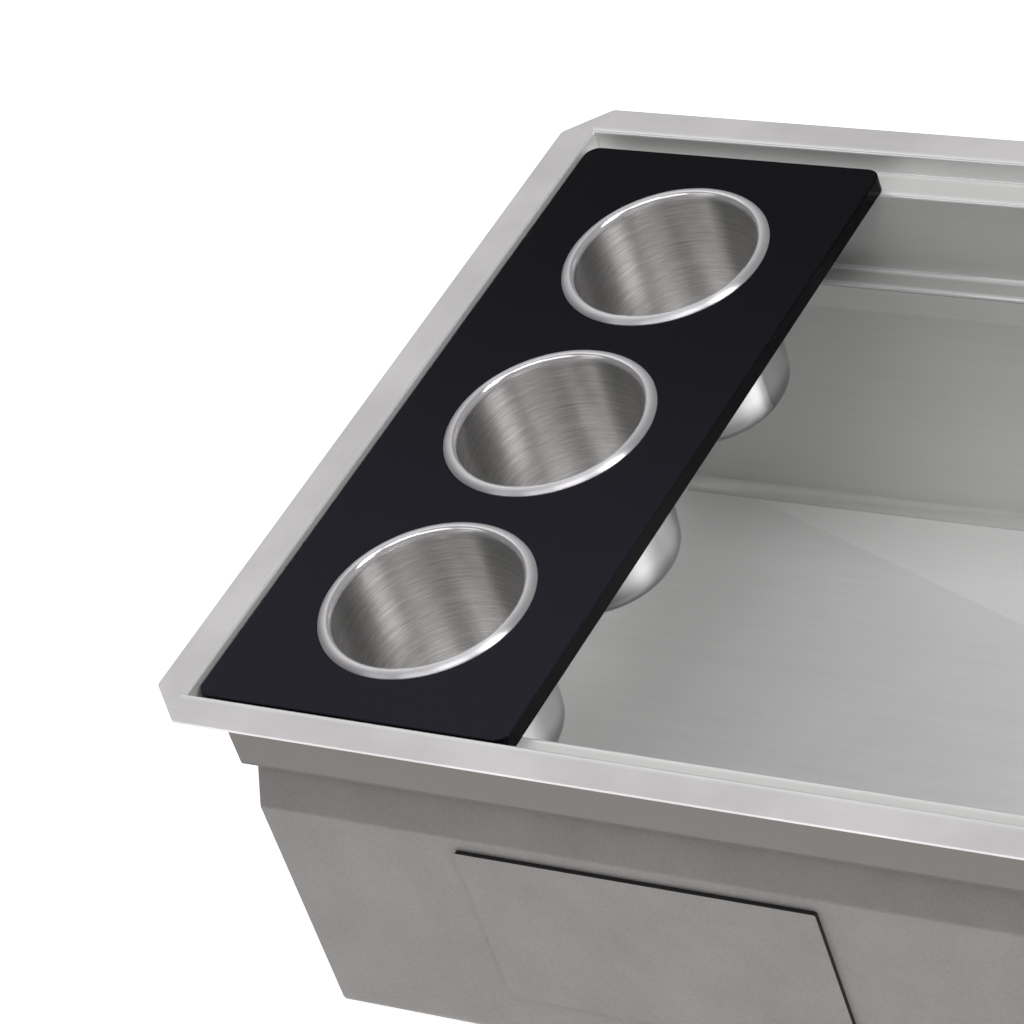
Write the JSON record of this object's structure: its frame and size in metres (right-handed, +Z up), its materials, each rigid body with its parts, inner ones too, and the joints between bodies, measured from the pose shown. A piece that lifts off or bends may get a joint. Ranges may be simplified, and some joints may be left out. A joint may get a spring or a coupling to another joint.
{
  "type": "workstation kitchen sink",
  "caption": "Undermount two-tier workstation kitchen sink with stepped ledges, a sliding black platform board holding round steel cups, and a basket strainer with tailpiece.",
  "frame": {"origin": "centre of the bowl opening, on the plane of the rim's top face", "axes": "+X to the right along the sink's length, +Y to the rear, +Z up out of the bowl"},
  "size_m": [1.143, 0.4826, 0.4165],
  "materials": {
    "brushed_steel": "horizontally brushed bare stainless steel, with a sprayed grey coat on the outside",
    "sound_pad": "matte grey coated rubber with black cut edges",
    "board": "satin black dense composite",
    "cup_steel": "brushed round inside, polished rim and outside",
    "strainer_steel": "satin stainless steel",
    "seal_rubber": "matte black rubber",
    "washer_fibre": "plain fibre card",
    "nut_metal": "dull cast metal",
    "tube_chrome": "bright plated tube"
  },
  "bodies": {
    "root": {"front_wall": "brushed_steel", "rear_wall": "brushed_steel", "left_end": "brushed_steel", "right_end": "brushed_steel", "floor_pan": "brushed_steel", "front_pad_left": "sound_pad", "front_pad_right": "sound_pad", "rear_pad_left": "sound_pad", "rear_pad_right": "sound_pad", "left_end_pad": "sound_pad", "right_end_pad": "sound_pad", "floor_pad_left": "sound_pad", "floor_pad_right": "sound_pad", "strainer_body": "strainer_steel", "strainer_gasket": "seal_rubber", "friction_washer": "washer_fibre", "strainer_locknut": "nut_metal", "tailpiece_washer": "seal_rubber", "tailpiece": "tube_chrome", "coupling_nut": "nut_metal"},
    "board": {"platform_board": "board"},
    "front_cup": {"front_cup": "cup_steel"},
    "middle_cup": {"middle_cup": "cup_steel"},
    "rear_cup": {"rear_cup": "cup_steel"},
    "basket": {"basket": "strainer_steel", "basket_seal": "seal_rubber", "basket_post": "strainer_steel", "basket_knob": "strainer_steel"}
  },
  "joints": [
    {"name": "board_slide", "type": "slide", "parent": "root", "child": "board", "axis": [1, 0, 0], "range_m": [0, 0.9247]},
    {"name": "front_cup_lift", "type": "slide", "parent": "board", "child": "front_cup", "axis": [0, 0, 1], "range_m": [0, 0.12]},
    {"name": "middle_cup_lift", "type": "slide", "parent": "board", "child": "middle_cup", "axis": [0, 0, 1], "range_m": [0, 0.12]},
    {"name": "rear_cup_lift", "type": "slide", "parent": "board", "child": "rear_cup", "axis": [0, 0, 1], "range_m": [0, 0.12]},
    {"name": "basket_lift", "type": "slide", "parent": "root", "child": "basket", "axis": [0, 0, 1], "range_m": [0, 0.1]}
  ]
}
